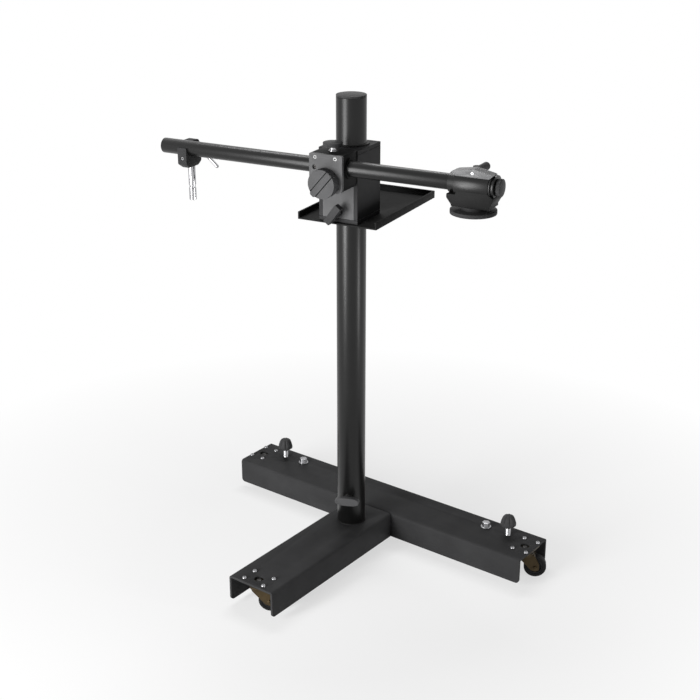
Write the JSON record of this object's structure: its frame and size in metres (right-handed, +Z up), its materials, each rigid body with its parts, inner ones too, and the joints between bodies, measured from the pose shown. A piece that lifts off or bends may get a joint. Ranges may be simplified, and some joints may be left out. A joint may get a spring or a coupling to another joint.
{
  "type": "rolling camera stand with cross arm",
  "caption": "Wheeled T-base stand with a swivelling column, sliding carriage and tray, and a tilting cross arm with a light stud and a camera head.",
  "frame": {"origin": "middle of the bounding box's underside, on the floor under the wheels", "axes": "+Z up along the column; +X along the crossbar towards the camera head's side; -Y towards the front leg"},
  "size_m": [0.8342, 0.588, 1.056],
  "materials": {
    "base_paint": "satin black powder coat",
    "column_paint": "gloss black enamel",
    "machined_black": "black anodised over a fine bead blast",
    "knob_plastic": "moulded, fine texture",
    "chrome": "polished",
    "zinc_olive": "olive-yellow passivated zinc",
    "wheel_rubber": "plain tread",
    "wheel_hub": "moulded",
    "bush_nylon": "moulded nylon",
    "brass": "turned",
    "raw_steel": "bright zinc"
  },
  "bodies": {
    "base": {"crossbar": "base_paint", "front_leg": "base_paint", "leg_end_plate": "base_paint", "base_post": "base_paint", "nut_bar_left": "raw_steel", "nut_bar_right": "raw_steel", "hex_bolt_left": "raw_steel", "hex_bolt_right": "raw_steel", "caster_plate_left": "zinc_olive", "caster_plate_right": "zinc_olive", "caster_plate_front": "zinc_olive", "column_bush_lower": "bush_nylon", "column_bush_upper": "bush_nylon"},
    "fork_left": {"caster_fork_left": "zinc_olive"},
    "wheel_left": {"wheel_hub_left": "wheel_hub", "tyre_left": "wheel_rubber"},
    "fork_right": {"caster_fork_right": "zinc_olive"},
    "wheel_right": {"wheel_hub_right": "wheel_hub", "tyre_right": "wheel_rubber"},
    "fork_front": {"caster_fork_front": "zinc_olive"},
    "wheel_front": {"wheel_hub_front": "wheel_hub", "tyre_front": "wheel_rubber"},
    "level_foot_left": {"levelling_foot_left": "knob_plastic"},
    "level_screw_left": {"levelling_screw_left": "chrome", "levelling_knob_left": "knob_plastic"},
    "level_foot_right": {"levelling_foot_right": "knob_plastic"},
    "level_screw_right": {"levelling_screw_right": "chrome", "levelling_knob_right": "knob_plastic"},
    "column": {"column_tube": "column_paint", "column_cap": "knob_plastic"},
    "lock_pad": {"column_lock_pad": "brass"},
    "lock_knob": {"column_lock_knob": "knob_plastic"},
    "carriage": {"carriage_bottom_plate": "machined_black", "carriage_top_plate": "machined_black", "carriage_left_plate": "machined_black", "carriage_right_plate": "machined_black", "carriage_rear_plate": "machined_black", "carriage_front_plate": "machined_black", "guide_bush_lower": "bush_nylon", "guide_bush_upper": "bush_nylon", "tray": "machined_black", "tilt_bolt": "raw_steel"},
    "shoe": {"brake_shoe": "brass"},
    "brake": {"brake_knob": "knob_plastic"},
    "clamp": {"clamp_block": "machined_black", "clamp_front_plate": "machined_black", "arm_bush_left": "bush_nylon", "arm_bush_right": "bush_nylon"},
    "tilt_knob": {"tilt_knob": "knob_plastic"},
    "arm_lock": {"arm_lock_knob": "knob_plastic"},
    "arm": {"arm_tube": "column_paint", "arm_end_cap": "knob_plastic"},
    "bracket": {"stud_bracket": "machined_black", "light_stud": "chrome"},
    "bracket_lever": {"bracket_lever": "chrome"},
    "head": {"head_body": "machined_black", "head_fairing": "machined_black"},
    "head_lever": {"head_lever": "knob_plastic"},
    "end_knob": {"head_end_knob": "knob_plastic"},
    "disc": {"mount_disc": "machined_black"}
  },
  "joints": [
    {"name": "caster_swivel_left", "type": "hinge", "parent": "base", "child": "fork_left", "pos_m": [-0.39512, 0.19704, 0], "axis": [0, 0, 1], "continuous": true},
    {"name": "wheel_spin_left", "type": "hinge", "parent": "fork_left", "child": "wheel_left", "pos_m": [-0.37433, 0.20904, 0.025], "axis": [-0.5, 0.866, 0], "continuous": true},
    {"name": "caster_swivel_right", "type": "hinge", "parent": "base", "child": "fork_right", "pos_m": [0.37088, 0.19704, 0], "axis": [0, 0, 1], "continuous": true},
    {"name": "wheel_spin_right", "type": "hinge", "parent": "fork_right", "child": "wheel_right", "pos_m": [0.39167, 0.20904, 0.025], "axis": [-0.5, 0.866, 0], "continuous": true},
    {"name": "caster_swivel_front", "type": "hinge", "parent": "base", "child": "fork_front", "pos_m": [-0.01212, -0.26596, 0], "axis": [0, 0, 1], "continuous": true},
    {"name": "wheel_spin_front", "type": "hinge", "parent": "fork_front", "child": "wheel_front", "pos_m": [0.00867, -0.25396, 0.025], "axis": [-0.5, 0.866, 0], "continuous": true},
    {"name": "levelling_travel_left", "type": "slide", "parent": "base", "child": "level_foot_left", "axis": [0, 0, 1], "range_m": [-0.012, 0]},
    {"name": "levelling_screw_turn_left", "type": "hinge", "parent": "level_foot_left", "child": "level_screw_left", "pos_m": [-0.33912, 0.21604, 0], "axis": [0, 0, 1], "range_deg": [-2160, 0]},
    {"name": "levelling_travel_right", "type": "slide", "parent": "base", "child": "level_foot_right", "axis": [0, 0, 1], "range_m": [-0.012, 0]},
    {"name": "levelling_screw_turn_right", "type": "hinge", "parent": "level_foot_right", "child": "level_screw_right", "pos_m": [0.31488, 0.21604, 0], "axis": [0, 0, 1], "range_deg": [-2160, 0]},
    {"name": "column_swivel", "type": "hinge", "parent": "base", "child": "column", "pos_m": [-0.01212, 0.06004, 0], "axis": [0, 0, 1], "continuous": true},
    {"name": "lock_pad_travel", "type": "slide", "parent": "column", "child": "lock_pad", "axis": [0.4267, -0.9044, 0], "range_m": [0, 0.0015]},
    {"name": "column_lock_turn", "type": "hinge", "parent": "lock_pad", "child": "lock_knob", "pos_m": [-0.01212, 0.06004, 0.142], "axis": [0.4267, -0.9044, 0], "range_deg": [0, 360]},
    {"name": "carriage_slide", "type": "slide", "parent": "column", "child": "carriage", "axis": [0, 0, 1], "range_m": [-0.62, 0.09]},
    {"name": "brake_shoe_travel", "type": "slide", "parent": "carriage", "child": "shoe", "axis": [0.1609, -0.987, 0], "range_m": [0, 0.0015]},
    {"name": "brake_turn", "type": "hinge", "parent": "shoe", "child": "brake", "pos_m": [-0.01212, 0.06004, 0.822], "axis": [0.1609, -0.987, 0], "range_deg": [0, 360]},
    {"name": "clamp_tilt", "type": "hinge", "parent": "carriage", "child": "clamp", "pos_m": [-0.0062, 0.06101, 0.9], "axis": [-0.1609, 0.987, 0], "range_deg": [-75, 85]},
    {"name": "tilt_knob_turn", "type": "hinge", "parent": "carriage", "child": "tilt_knob", "pos_m": [-0.0062, 0.06101, 0.9], "axis": [0.1609, -0.987, 0], "range_deg": [0, 720]},
    {"name": "arm_lock_turn", "type": "hinge", "parent": "clamp", "child": "arm_lock", "pos_m": [0.00845, -0.0288, 0.9], "axis": [0, 0, 1], "range_deg": [0, 720]},
    {"name": "arm_slide", "type": "slide", "parent": "clamp", "child": "arm", "axis": [-0.987, -0.1609, 0], "range_m": [-0.2, 0.15]},
    {"name": "bracket_slide", "type": "slide", "parent": "arm", "child": "bracket", "axis": [0.987, 0.1609, 0], "range_m": [-0.015, 0.1]},
    {"name": "bracket_lever_turn", "type": "hinge", "parent": "bracket", "child": "bracket_lever", "pos_m": [-0.34193, -0.08593, 0.921], "axis": [-0.1609, 0.987, 0], "range_deg": [0, 720]},
    {"name": "head_roll", "type": "hinge", "parent": "arm", "child": "head", "pos_m": [0.31243, 0.02076, 0.926], "axis": [0.987, 0.1609, 0], "continuous": true},
    {"name": "head_lever_turn", "type": "hinge", "parent": "head", "child": "head_lever", "pos_m": [0.30805, 0.03524, 0.957], "axis": [0, 0, -1], "range_deg": [-60, 60]},
    {"name": "end_knob_turn", "type": "hinge", "parent": "head", "child": "end_knob", "pos_m": [0.31243, 0.02076, 0.926], "axis": [0.987, 0.1609, 0], "range_deg": [0, 720]},
    {"name": "disc_pan", "type": "hinge", "parent": "head", "child": "disc", "pos_m": [0.31243, 0.02076, 0.87], "axis": [0, 0, 1], "continuous": true}
  ],
  "couplings": [
    {"joint": "levelling_screw_turn_left", "follows": "levelling_travel_left", "rad_per_m": 3141.5},
    {"joint": "levelling_screw_turn_right", "follows": "levelling_travel_right", "rad_per_m": 3141.5},
    {"joint": "column_lock_turn", "follows": "lock_pad_travel", "rad_per_m": 4188.7},
    {"joint": "brake_turn", "follows": "brake_shoe_travel", "rad_per_m": 4188.7}
  ]
}
